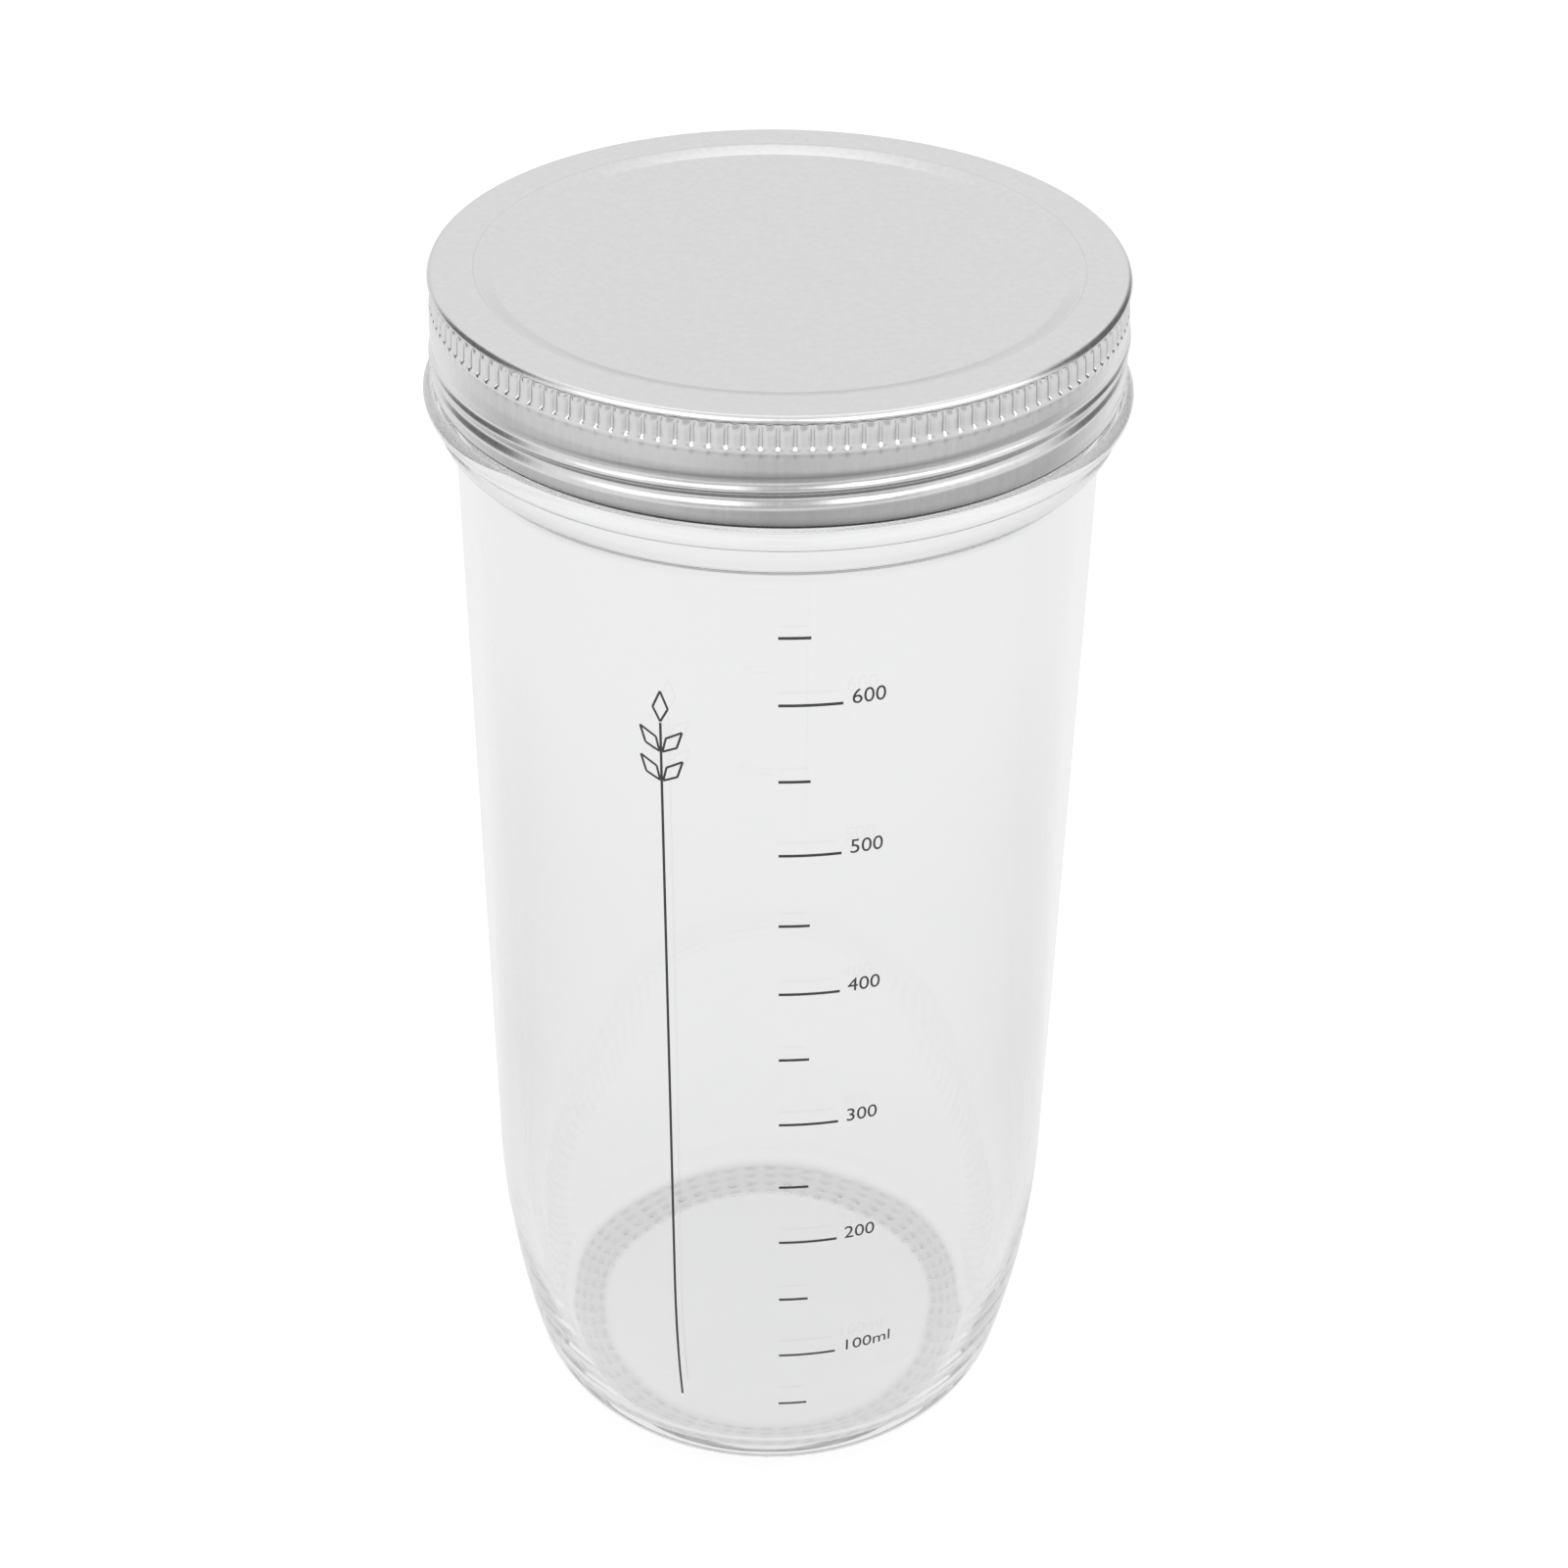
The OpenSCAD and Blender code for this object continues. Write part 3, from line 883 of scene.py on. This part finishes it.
# %% Lamps
def lamp(name, place, aim, size, power):
    clear_selection()
    bpy.ops.object.light_add(type="AREA", location=place)
    made = bpy.context.object
    made.name = name
    made.data.shape = "SQUARE"
    made.data.size = size
    made.data.energy = power
    way = Vector(aim) - Vector(place)
    made.rotation_euler = way.to_track_quat("-Z", "Y").to_euler()
    made.visible_glossy = made.visible_transmission = False


lamp("top_softbox", (0.0, 0.35, 1.3), (0, 0, 0.15), 0.5, 4.0)
lamp("key_softbox", (-0.9, -0.4, 0.8), (0, 0, 0.1), 0.4, 1.5)
lamp("fill_softbox", (0.9, -0.2, 0.7), (0, 0, 0.1), 0.4, 1.2)

# %% [markdown]
# Polished metal shows what stands round it, or it looks like paper. Photographers surround it with
# cards: here two bright ones in front at the left and right, with a grey wall behind them, a black one
# at each side, and a grey and a dark ring of floor. Only mirror rays see the cards, so they neither
# shade the jar nor show in the picture.

# %% Cards for the steel to mirror
def finish_card(card, light, share=None):
    """Makes a card of light, a strength or a wire, that covers only a share of what lies behind it."""
    tree = card.active_material.node_tree
    start = Wire(tree)
    glow = start.node("Emission", Color=(1, 1, 1, 1), Strength=light)
    if share is not None:
        clear = start.node("BsdfTransparent", Color=(1, 1, 1, 1))
        both = tree.nodes.new("ShaderNodeMixShader")
        tree.links.new(share.socket, both.inputs[0])
        tree.links.new(clear.socket, both.inputs[1])
        tree.links.new(glow.socket, both.inputs[2])
        glow = Wire(tree, both.outputs[0])
    tree.links.new(glow.socket, tree.nodes["Material Output"].inputs["Surface"])
    card.visible_camera = card.visible_diffuse = card.visible_shadow = card.visible_transmission = False


def standing_card(name, az, elevation, distance, size, light, soft=0.12):
    """A card that faces the lid, at degrees round from the front and degrees above the lid."""
    a, e = math.radians(az), math.radians(elevation)
    way = Vector((math.sin(a) * math.cos(e), -math.cos(a) * math.cos(e), math.sin(e)))
    clear_selection()
    bpy.ops.mesh.primitive_plane_add(size=1, location=Vector((0, 0, LID_TOP * MM)) + way * distance)
    card = bpy.context.object
    card.name = name
    card.rotation_euler = way.to_track_quat("Z", "Y").to_euler()
    card.scale = (size[0], size[1], 1)
    look, tree, shader, start = material(name)
    card.data.materials.append(look)
    place = start.node("TexCoord", out=0)
    share = 1.0
    for i in range(2):
        part = start.node("SeparateXYZ", out=i, Vector=place)
        rim = start.maths("MINIMUM", part, 1 - part)
        share = start.node("MapRange", Value=rim, From_Max=soft) * share
    finish_card(card, light, share)


standing_card("left_bright_card", -38, 38, 1.1, (1.25, 1.05), 1.7)
standing_card("right_bright_card", 50, 38, 1.1, (1.65, 1.05), 1.7)
standing_card("front_grey_card", 3, 30, 1.5, (3.2, 2.2), 0.53)
standing_card("left_black_card", -106, 16, 0.95, (1.0, 1.2), 0.14, 0.25)
standing_card("right_black_card", 122, 16, 0.95, (1.25, 1.2), 0.14, 0.25)
standing_card("top_bright_card", 180, 66, 1.2, (1.3, 0.55), 1.25)

# %% A shaded ring of floor, dark near the jar, that runs out behind it
RING_INNER, RING_OUTER = 0.05, 0.54
clear_selection()
bpy.ops.mesh.primitive_circle_add(vertices=64, radius=RING_INNER, location=(0, 0, 0.001))
floor_ring = bpy.context.object
floor_ring.name = "shaded_floor_ring"
bpy.ops.object.mode_set(mode="EDIT")
bpy.ops.mesh.select_all(action="SELECT")
bpy.ops.mesh.extrude_region_move()
bpy.ops.transform.resize(value=(RING_OUTER / RING_INNER, RING_OUTER / RING_INNER, 1))
bpy.ops.object.mode_set(mode="OBJECT")
look, tree, shader, start = material("shaded_floor_ring")
floor_ring.data.materials.append(look)
place = start.node("TexCoord", out=3)
x, y = (start.node("SeparateXYZ", out=i, Vector=place) for i in range(2))
radius = start.maths("SQRT", x * x + y * y)
shades = [(0.05, 0.76), (0.11, 0.15), (0.17, 0.15), (0.25, 0.46), (0.40, 0.46), (0.47, 0.74), (0.54, 0.80)]
stops = [(r / RING_OUTER, shade) for r, shade in shades]
light = start.node("ValToRGB", {"stops": stops}, Fac=radius / RING_OUTER)
across = start.node("ValToRGB", {"stops": [(0.15, 1.0), (0.5, 0.72), (0.8, 0.86)]}, Fac=x / 0.7 + 0.5)
far = start.node("MapRange", Value=radius, From_Min=0.17, From_Max=0.25)
light = light * (1 + far * (across * 1.25 - 1))
off_front = start.maths("ABSOLUTE", start.maths("ARCTAN2", x, 0 - y))
front = start.node("MapRange", Value=off_front, From_Min=1.7, From_Max=2.3, To_Min=1.0, To_Max=0.0)
finish_card(floor_ring, light, front)

# %% A low pale wall behind, for the stamped step to mirror
clear_selection()
bpy.ops.mesh.primitive_circle_add(vertices=64, radius=1.6, location=(0, 0, 0))
back_wall = bpy.context.object
back_wall.name = "back_pale_wall"
bpy.ops.object.mode_set(mode="EDIT")
bpy.ops.mesh.select_all(action="SELECT")
bpy.ops.mesh.extrude_region_move(TRANSFORM_OT_translate={"value": (0, 0, 0.6)})
bpy.ops.mesh.select_all(action="SELECT")
bpy.ops.mesh.bisect(plane_co=(0, 0.3, 0), plane_no=(0, -1, 0), clear_outer=True)
bpy.ops.object.mode_set(mode="OBJECT")
back_wall.data.materials.append(material("back_pale_wall")[0])
finish_card(back_wall, 0.78)

# %% [markdown]
# The camera stands in front of the jar and looks down on it by a third of a right angle, with a lens
# of 72 mm, so the body narrows towards its foot. It is turned and rolled by less than a degree.

# %% Camera
PITCH_DOWN, YAW, ROLL = 0.5809, 0.0038, 0.0134
camera_data = bpy.data.cameras.new("camera")
camera_data.sensor_fit = "HORIZONTAL"
camera_data.sensor_width = 36.0
camera_data.lens = 72.0
camera_data.clip_start = 0.01
camera = bpy.data.objects.new("camera", camera_data)
bpy.context.collection.objects.link(camera)
level_way = Vector((math.sin(YAW), math.cos(YAW), 0))
forward = level_way * math.cos(PITCH_DOWN) - Vector((0, 0, math.sin(PITCH_DOWN)))
level_right = forward.cross(Vector((0, 0, 1))).normalized()
level_up = level_right.cross(forward)
right = level_right * math.cos(ROLL) + level_up * math.sin(ROLL)
up = level_up * math.cos(ROLL) - level_right * math.sin(ROLL)
turn = camera.matrix_world.to_3x3()
for i in range(3):
    turn[i] = (right[i], up[i], -forward[i])
camera.matrix_world = turn.to_4x4()
camera.location = (0, -0.3655, 0.3386)
bpy.context.scene.camera = camera
bpy.context.scene.view_settings.view_transform = "Standard"

# %% Hand over to the frame
bpy.context.view_layer.update()
